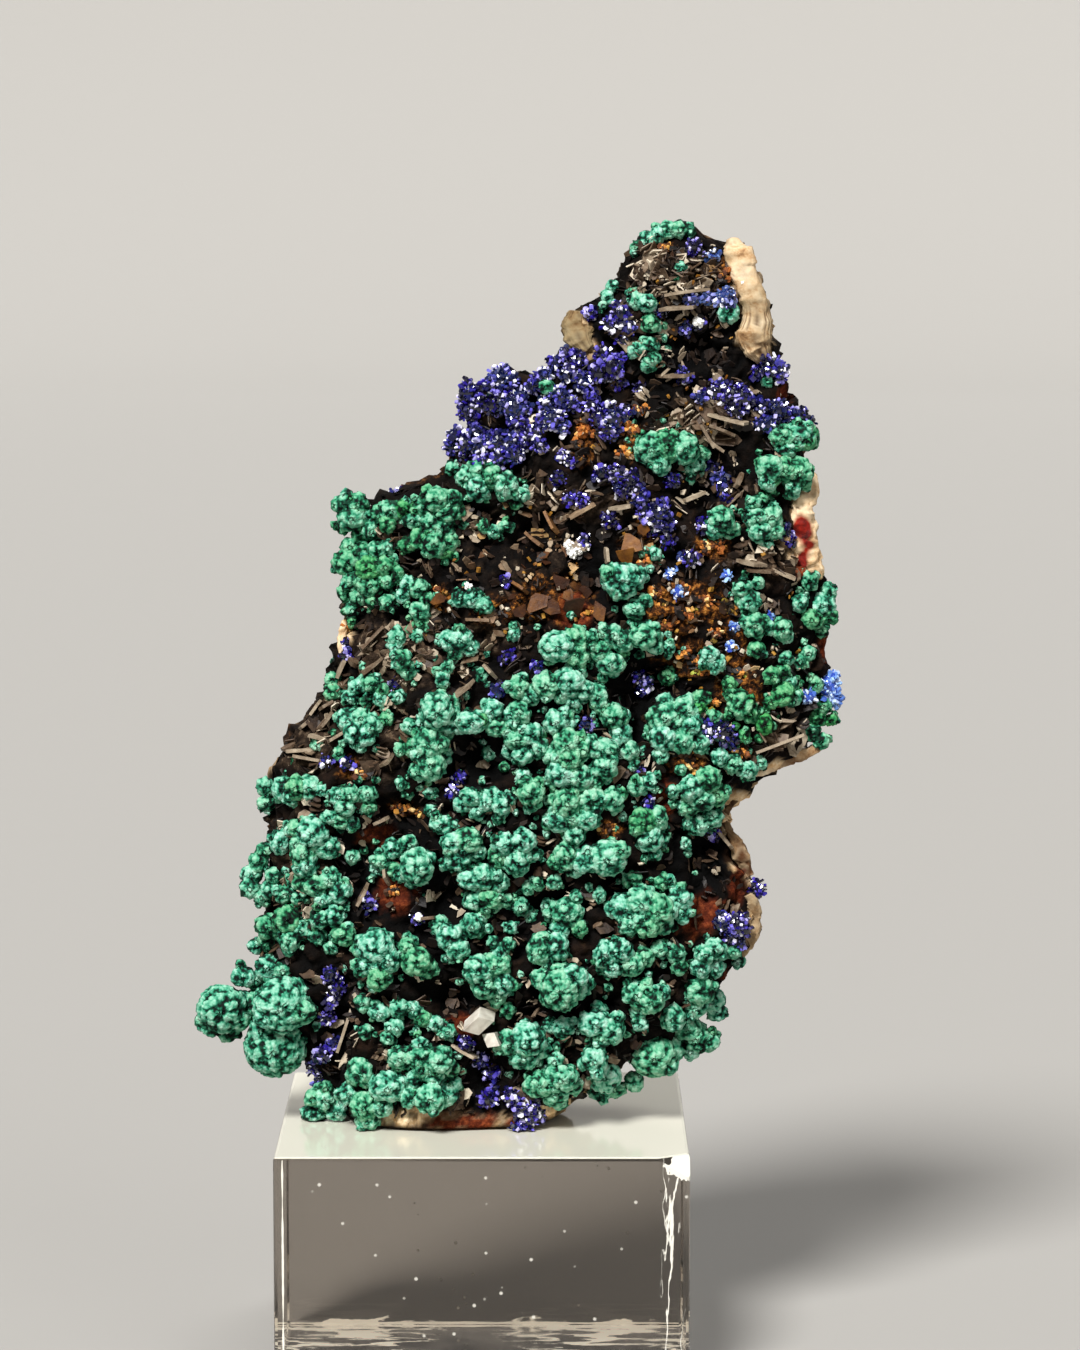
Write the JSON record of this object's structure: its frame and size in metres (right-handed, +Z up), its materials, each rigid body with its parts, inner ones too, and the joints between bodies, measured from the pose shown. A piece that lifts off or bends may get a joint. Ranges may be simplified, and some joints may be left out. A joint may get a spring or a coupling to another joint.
{
  "type": "mineral specimen",
  "caption": "Azurite and malachite crystals grown over a tapering slab of limonite rock, standing upright on a square clear acrylic display block.",
  "frame": {"origin": "centre of the display block's underside, on the surface it stands on", "axes": "+Z up, -Y towards the side with the crystals, +X to the right when that side is faced"},
  "size_m": [0.0607, 0.0382, 0.1072],
  "materials": {
    "acrylic": "clear polished acrylic with a pale glossy top",
    "limonite": "rough limonite rock with thin plates and earthy patches",
    "malachite": "velvety botryoidal malachite with a fine grain",
    "azurite": "glassy small azurite crystals with flat faces",
    "calcite": "translucent off-white calcite rhombs"
  },
  "bodies": {
    "root": {"azurite_blue_spot": "azurite", "azurite_edge": "azurite", "azurite_foot": "azurite", "azurite_knob": "azurite", "azurite_knob_left": "azurite", "azurite_left_crevice_low": "azurite", "azurite_left_spur": "azurite", "azurite_lower_right": "azurite", "azurite_lower_right_tip": "azurite", "azurite_middle": "azurite", "azurite_right_bar": "azurite", "azurite_right_pocket": "azurite", "azurite_shaft": "azurite", "azurite_upper_left": "azurite", "azurite_upper_middle": "azurite", "azurite_upper_right": "azurite", "calcite": "calcite", "display_block": "acrylic", "limonite_rock": "limonite", "malachite_center_bead": "malachite", "malachite_center_left": "malachite", "malachite_center_low": "malachite", "malachite_center_pair": "malachite", "malachite_column": "malachite", "malachite_crest": "malachite", "malachite_edge_low": "malachite", "malachite_field_edge": "malachite", "malachite_field_lower": "malachite", "malachite_field_right": "malachite", "malachite_field_upper": "malachite", "malachite_foot": "malachite", "malachite_foot_right": "malachite", "malachite_left_beads": "malachite", "malachite_left_edge": "malachite", "malachite_left_low": "malachite", "malachite_left_lower": "malachite", "malachite_left_middle": "malachite", "malachite_left_shoulder": "malachite", "malachite_low_left_center": "malachite", "malachite_lower_center": "malachite", "malachite_lower_knobs": "malachite", "malachite_lower_left_center": "malachite", "malachite_lower_right": "malachite", "malachite_mid_upper": "malachite", "malachite_middle": "malachite", "malachite_recess": "malachite", "malachite_right_bead": "malachite", "malachite_right_block": "malachite", "malachite_right_buttons": "malachite", "malachite_right_center": "malachite", "malachite_right_corner": "malachite", "malachite_right_foot": "malachite", "malachite_right_low": "malachite", "malachite_ring": "malachite", "malachite_spur_foot": "malachite", "malachite_upper_center": "malachite", "malachite_upper_rib": "malachite", "malachite_upper_right": "malachite"}
  },
  "joints": []
}
